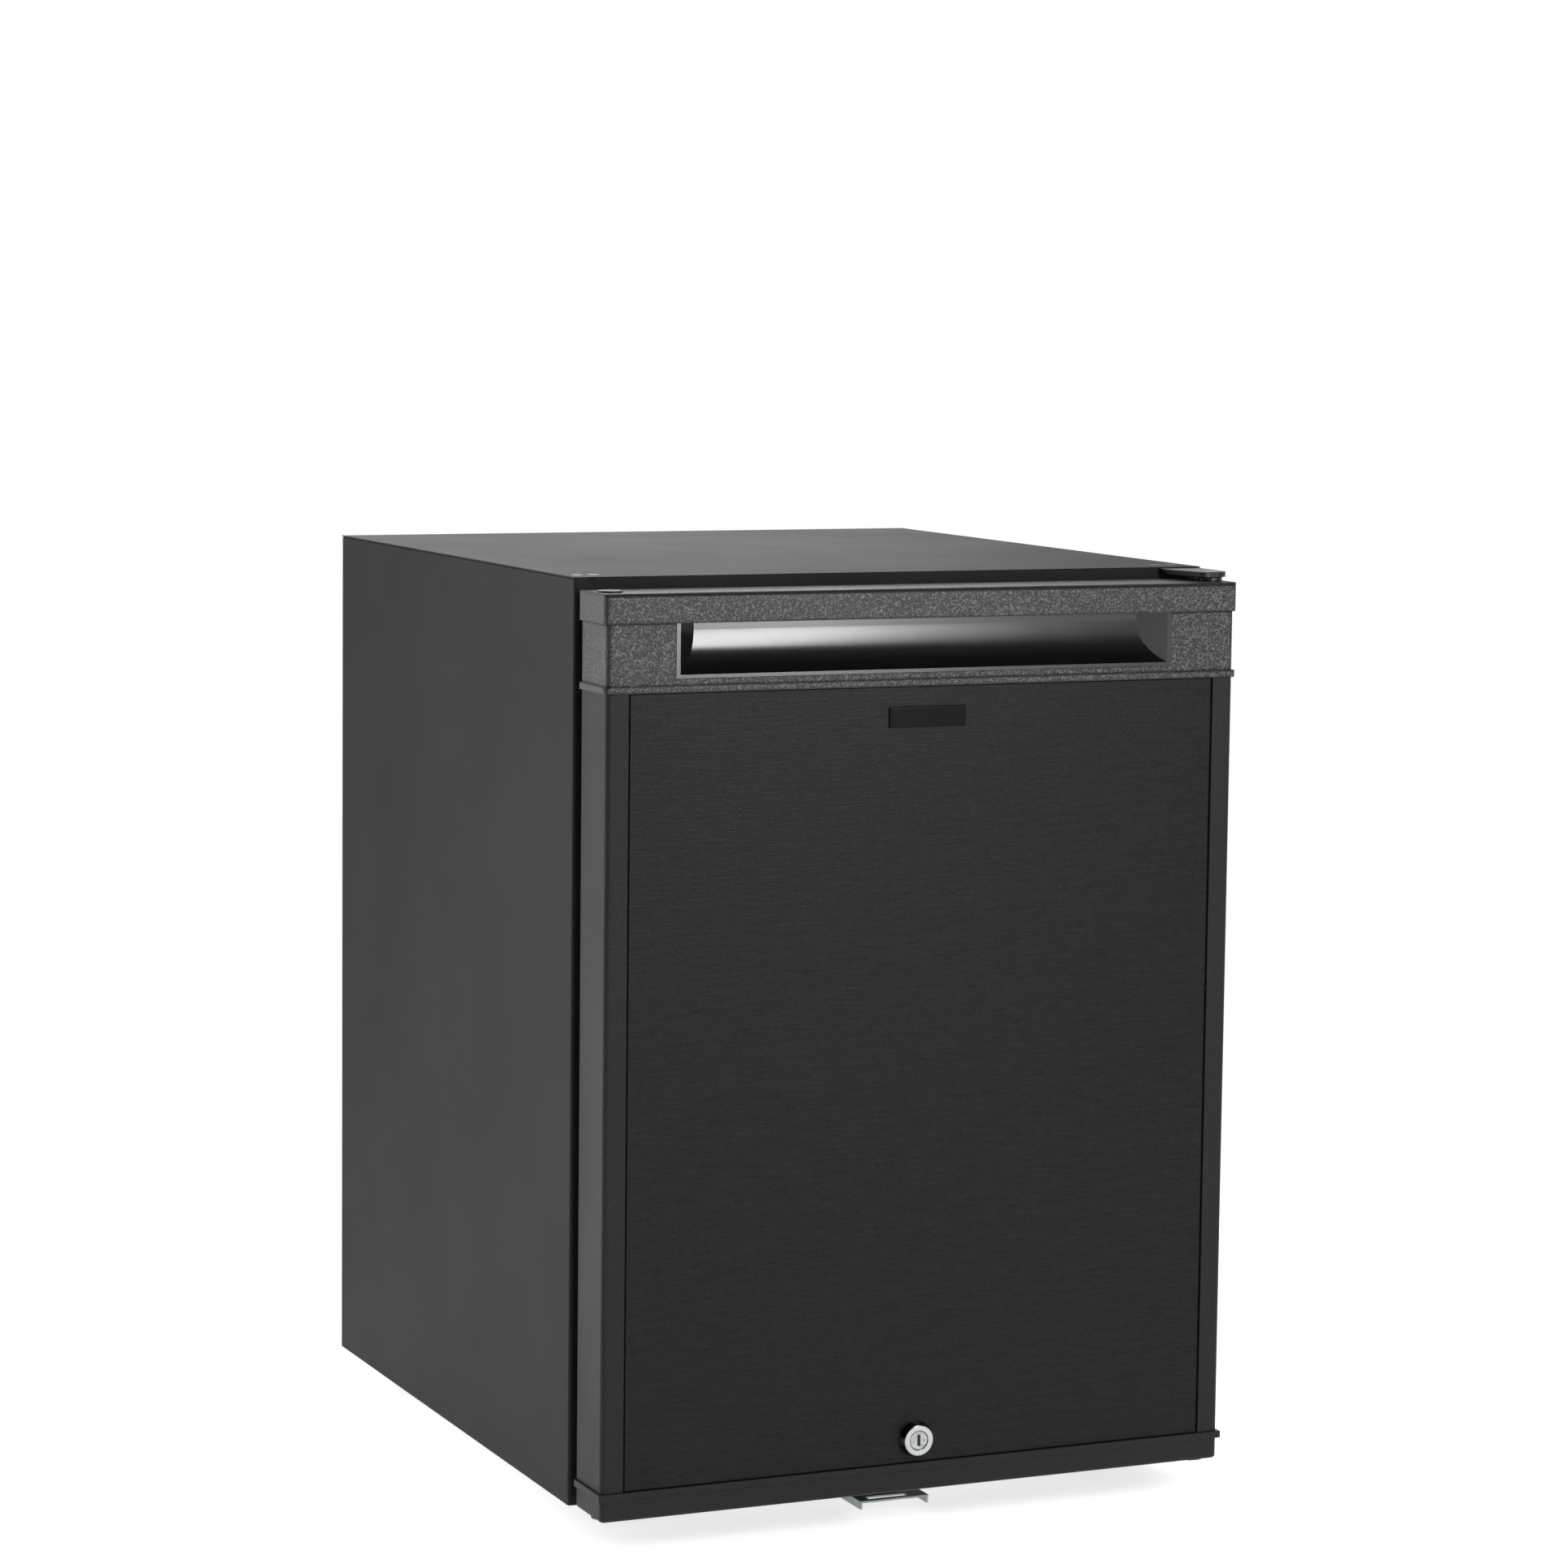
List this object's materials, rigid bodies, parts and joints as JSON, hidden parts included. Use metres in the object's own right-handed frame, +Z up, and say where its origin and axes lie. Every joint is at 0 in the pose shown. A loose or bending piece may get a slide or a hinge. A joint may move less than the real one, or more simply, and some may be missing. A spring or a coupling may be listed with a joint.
{
  "type": "minibar fridge",
  "caption": "Black hotel minibar with a right-hinged insulated door, scooped handle, cam lock, wire shelves, door racks and a silent absorption cooling unit at the back.",
  "frame": {"origin": "on the floor under the middle of the bounding box", "axes": "+Z up, front of the door towards -Y, hinge side towards +X"},
  "size_m": [0.402, 0.471, 0.556],
  "materials": {
    "black_sheet": "satin",
    "zinc_sheet": "satin",
    "black_steel": "satin",
    "foam": "matte",
    "white_liner": "satin",
    "rack_plastic": "gloss",
    "frame_plastic": "satin",
    "grained_black": "matte",
    "plain_black": "satin",
    "gloss_black": "gloss",
    "door_skin": "matte",
    "gasket_rubber": "matte",
    "foot_rubber": "matte",
    "lock_chrome": "polished",
    "lock_steel": "satin",
    "shelf_wire": "gloss",
    "bare_aluminium": "satin",
    "lens_plastic": "satin",
    "knob_plastic": "satin",
    "unit_paint": "satin"
  },
  "bodies": {
    "cabinet": {"side_panel_left": "black_sheet", "side_panel_right": "black_sheet", "top_panel": "black_sheet", "base_pan": "zinc_sheet", "back_panel": "zinc_sheet", "unit_rail_lower": "zinc_sheet", "unit_rail_upper": "zinc_sheet", "lock_keeper": "zinc_sheet", "base_screws": "zinc_sheet", "hinge_pin_top": "zinc_sheet", "hinge_pin_bottom": "zinc_sheet", "hinge_plate_top": "black_steel", "hinge_plate_bottom": "black_steel", "hinge_screws": "black_steel", "blanking_screws": "black_steel", "insulation_foam": "foam", "inner_liner": "white_liner", "control_housing": "white_liner", "drip_tray": "white_liner", "front_frame": "frame_plastic", "terminal_box": "plain_black", "cable_gland": "plain_black", "feet": "foot_rubber", "wire_shelf_lower": "shelf_wire", "wire_shelf_upper": "shelf_wire", "evaporator": "bare_aluminium", "condenser_fins": "bare_aluminium", "lamp_lens": "lens_plastic", "boiler_jacket": "unit_paint", "absorber_vessel": "unit_paint", "absorber_coil": "unit_paint", "condenser_tube": "unit_paint", "gas_return_pipe": "unit_paint", "heat_exchanger": "unit_paint"},
    "door": {"door_panel": "door_skin", "side_trim_left": "grained_black", "side_trim_right": "grained_black", "handle_rail": "grained_black", "handle_cup": "gloss_black", "top_cap": "grained_black", "bottom_cap": "grained_black", "door_foam": "foam", "door_liner": "white_liner", "door_gasket": "gasket_rubber", "door_rack_lower": "rack_plastic", "door_rack_middle": "rack_plastic", "door_rack_upper": "rack_plastic", "hinge_bush_top": "plain_black", "hinge_bush_bottom": "plain_black", "door_hole_plugs": "plain_black", "lock_body": "lock_chrome", "lock_nut": "lock_steel", "lock_box": "plain_black"},
    "lock_plug": {"lock_plug": "lock_chrome", "lock_cam": "lock_steel", "cam_screw": "lock_steel"},
    "knob": {"thermostat_knob": "knob_plastic"}
  },
  "joints": [
    {"name": "door_hinge", "type": "hinge", "parent": "cabinet", "child": "door", "pos_m": [0.191, -0.2145, 0.285], "axis": [0, 0, 1], "range_deg": [0, 120]},
    {"name": "lock_turn", "type": "hinge", "parent": "door", "child": "lock_plug", "pos_m": [-0.002, -0.22, 0.052], "axis": [0, -1, 0], "range_deg": [0, 90]},
    {"name": "thermostat_turn", "type": "hinge", "parent": "cabinet", "child": "knob", "pos_m": [0.124, -0.1245, 0.501], "axis": [0, -1, 0], "range_deg": [-135, 135]}
  ]
}
